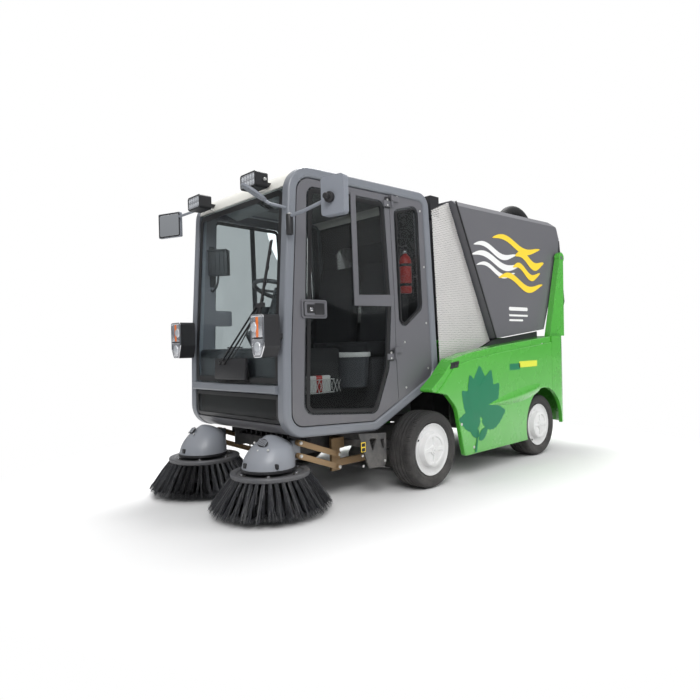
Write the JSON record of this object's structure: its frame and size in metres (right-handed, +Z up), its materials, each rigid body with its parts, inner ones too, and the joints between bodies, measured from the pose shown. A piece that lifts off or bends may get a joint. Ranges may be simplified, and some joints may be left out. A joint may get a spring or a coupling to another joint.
{
  "type": "compact road sweeper",
  "caption": "Compact battery road sweeper: glazed two-seat cab, twin front brushes on lift links, slanted tipping hopper, green skirts, white wheels.",
  "frame": {"origin": "on the ground, under the middle of the whole footprint", "axes": "+Z up, -Y the front, +X the sweeper's left"},
  "size_m": [2.01, 3.623, 2.2329],
  "materials": {
    "frame_paint": "satin",
    "cast_steel": "matte",
    "dark_plastic": "matte",
    "tyre": "matte",
    "white_paint": "satin",
    "grey_paint": "satin",
    "clear_glass": "gloss",
    "trim_plastic": "satin",
    "seat_fabric": "matte",
    "mesh_steel": "satin",
    "green_paint": "gloss",
    "black_rubber": "matte",
    "chromed_rod": "polished",
    "link_metal": "satin",
    "red_lens": "gloss",
    "cover_plastic": "satin",
    "bristle": "matte"
  },
  "bodies": {
    "body": {"chassis_frame": "frame_paint", "battery_block": "dark_plastic", "front_axle": "frame_paint", "rear_axle": "frame_paint", "cab_tub": "grey_paint", "side_frames": "grey_paint", "cab_roof": "white_paint", "windscreen": "clear_glass", "nose_glass": "clear_glass", "front_bar": "trim_plastic", "wiper": "dark_plastic", "cab_rear_wall": "grey_paint", "rear_glass": "clear_glass", "dashboard": "dark_plastic", "seats": "seat_fabric", "mesh_panels": "mesh_steel", "fenders": "green_paint", "rear_body": "green_paint", "quarter_panels": "grey_paint", "hopper_posts": "green_paint", "rear_sides": "green_paint", "rear_deck": "green_paint", "inner_walls": "dark_plastic", "intake_box": "dark_plastic", "rear_lamps": "red_lens", "link_brackets": "link_metal", "headlamps": "dark_plastic", "work_lamps": "dark_plastic", "mirrors": "trim_plastic"},
    "knuckle_left": {"knuckle_left": "cast_steel"},
    "knuckle_right": {"knuckle_right": "cast_steel"},
    "tie_rod": {"tie_rod": "cast_steel"},
    "wheel_front_left": {"tyre_front_left": "tyre", "rim_front_left": "white_paint"},
    "wheel_front_right": {"tyre_front_right": "tyre", "rim_front_right": "white_paint"},
    "wheel_rear_left": {"tyre_rear_left": "tyre", "rim_rear_left": "white_paint"},
    "wheel_rear_right": {"tyre_rear_right": "tyre", "rim_rear_right": "white_paint"},
    "steering_wheel": {"steering_wheel": "dark_plastic"},
    "door_left": {"door_left": "grey_paint", "door_glass_left": "clear_glass"},
    "door_right": {"door_right": "grey_paint", "door_glass_right": "clear_glass"},
    "hopper": {"hopper": "grey_paint", "top_hose": "black_rubber"},
    "hopper_door": {"hopper_door": "dark_plastic"},
    "tip_barrels": {"tip_barrels": "frame_paint"},
    "tip_stages": {"tip_stages": "chromed_rod"},
    "tip_rods": {"tip_rods": "chromed_rod"},
    "suction_nozzle": {"suction_nozzle": "frame_paint"},
    "link_upper_left": {"link_upper_left": "link_metal"},
    "link_lower_left": {"link_lower_left": "link_metal"},
    "brush_head_left": {"brush_head_left": "cover_plastic"},
    "brush_left": {"brush_left": "bristle"},
    "link_upper_right": {"link_upper_right": "link_metal"},
    "link_lower_right": {"link_lower_right": "link_metal"},
    "brush_head_right": {"brush_head_right": "cover_plastic"},
    "brush_right": {"brush_right": "bristle"}
  },
  "joints": [
    {"name": "steer_left", "type": "hinge", "parent": "body", "child": "knuckle_left", "pos_m": [0.6, -0.3585, 0.2625], "axis": [0, 0, 1], "range_deg": [-30, 30]},
    {"name": "steer_right", "type": "hinge", "parent": "body", "child": "knuckle_right", "pos_m": [-0.6, -0.3585, 0.2625], "axis": [0, 0, 1], "range_deg": [-30.5, 30.5]},
    {"name": "tie_rod_turn", "type": "hinge", "parent": "knuckle_left", "child": "tie_rod", "pos_m": [0.6, -0.2585, 0.191], "axis": [0, 0, 1], "range_deg": [-30.5, 30.5]},
    {"name": "steering_wheel_turn", "type": "hinge", "parent": "body", "child": "steering_wheel", "pos_m": [0.15, -1.1535, 1.35], "axis": [0, 0.347, 0.9379], "range_deg": [-362, 362]},
    {"name": "wheel_front_left_spin", "type": "hinge", "parent": "knuckle_left", "child": "wheel_front_left", "pos_m": [0.6725, -0.3585, 0.2625], "axis": [1, 0, 0], "continuous": true},
    {"name": "wheel_rear_left_spin", "type": "hinge", "parent": "body", "child": "wheel_rear_left", "pos_m": [0.64, 1.1465, 0.2625], "axis": [1, 0, 0], "continuous": true},
    {"name": "wheel_front_right_spin", "type": "hinge", "parent": "knuckle_right", "child": "wheel_front_right", "pos_m": [-0.6725, -0.3585, 0.2625], "axis": [1, 0, 0], "continuous": true},
    {"name": "wheel_rear_right_spin", "type": "hinge", "parent": "body", "child": "wheel_rear_right", "pos_m": [-0.64, 1.1465, 0.2625], "axis": [1, 0, 0], "continuous": true},
    {"name": "door_left_open", "type": "hinge", "parent": "body", "child": "door_left", "pos_m": [0.60205, -0.53092, 0.9], "axis": [0, 0, 1], "range_deg": [0, 80]},
    {"name": "door_right_open", "type": "hinge", "parent": "body", "child": "door_right", "pos_m": [-0.60205, -0.53092, 0.9], "axis": [0, 0, -1], "range_deg": [0, 80]},
    {"name": "hopper_tip", "type": "hinge", "parent": "body", "child": "hopper", "pos_m": [0, 1.6165, 1.74], "axis": [-1, 0, 0], "range_deg": [0, 45]},
    {"name": "hopper_door_open", "type": "hinge", "parent": "hopper", "child": "hopper_door", "pos_m": [0, 1.7135, 1.945], "axis": [1, 0, 0], "range_deg": [0, 75]},
    {"name": "tip_barrel_lean", "type": "hinge", "parent": "body", "child": "tip_barrels", "pos_m": [0, 1.2675, 0.464], "axis": [-1, 0, 0], "range_deg": [-0.5, 13.01]},
    {"name": "tip_stage_reach", "type": "slide", "parent": "tip_barrels", "child": "tip_stages", "axis": [0, -0.6816, 0.7317], "range_m": [-0.001, 0.41757]},
    {"name": "tip_rod_reach", "type": "slide", "parent": "tip_stages", "child": "tip_rods", "axis": [0, -0.6816, 0.7317], "range_m": [-0.001, 0.41757]},
    {"name": "nozzle_lift", "type": "slide", "parent": "body", "child": "suction_nozzle", "axis": [0, 0, 1], "range_m": [0, 0.07]},
    {"name": "brush_lift_left", "type": "hinge", "parent": "body", "child": "link_upper_left", "pos_m": [0.455, -0.9585, 0.285], "axis": [-1, 0, 0], "range_deg": [-6, 4]},
    {"name": "lower_link_turn_left", "type": "hinge", "parent": "body", "child": "link_lower_left", "pos_m": [0.455, -0.9585, 0.205], "axis": [-1, 0, 0], "range_deg": [-6.5, 4.5]},
    {"name": "brush_head_level_left", "type": "hinge", "parent": "link_upper_left", "child": "brush_head_left", "pos_m": [0.455, -1.2735, 0.4], "axis": [-1, 0, 0], "range_deg": [-4.5, 6.5]},
    {"name": "brush_left_spin", "type": "hinge", "parent": "brush_head_left", "child": "brush_left", "pos_m": [0.386, -1.4365, 0.245], "axis": [0, 0, 1], "continuous": true},
    {"name": "brush_lift_right", "type": "hinge", "parent": "body", "child": "link_upper_right", "pos_m": [-0.455, -0.9585, 0.285], "axis": [-1, 0, 0], "range_deg": [-6, 4]},
    {"name": "lower_link_turn_right", "type": "hinge", "parent": "body", "child": "link_lower_right", "pos_m": [-0.455, -0.9585, 0.205], "axis": [-1, 0, 0], "range_deg": [-6.5, 4.5]},
    {"name": "brush_head_level_right", "type": "hinge", "parent": "link_upper_right", "child": "brush_head_right", "pos_m": [-0.455, -1.2735, 0.4], "axis": [-1, 0, 0], "range_deg": [-4.5, 6.5]},
    {"name": "brush_right_spin", "type": "hinge", "parent": "brush_head_right", "child": "brush_right", "pos_m": [-0.386, -1.4365, 0.245], "axis": [0, 0, 1], "continuous": true}
  ],
  "couplings": [
    {"joint": "steer_right", "follows": "steer_left", "ratio": 1},
    {"joint": "tie_rod_turn", "follows": "steer_left", "ratio": -1},
    {"joint": "steering_wheel_turn", "follows": "steer_left", "ratio": 12},
    {"joint": "tip_barrel_lean", "follows": "hopper_tip", "ratio": 0.27803},
    {"joint": "tip_stage_reach", "follows": "hopper_tip", "m_per_rad": 0.52912},
    {"joint": "tip_rod_reach", "follows": "hopper_tip", "m_per_rad": 0.52912},
    {"joint": "lower_link_turn_left", "follows": "brush_lift_left", "ratio": 1},
    {"joint": "brush_head_level_left", "follows": "brush_lift_left", "ratio": -1},
    {"joint": "lower_link_turn_right", "follows": "brush_lift_right", "ratio": 1},
    {"joint": "brush_head_level_right", "follows": "brush_lift_right", "ratio": -1}
  ]
}
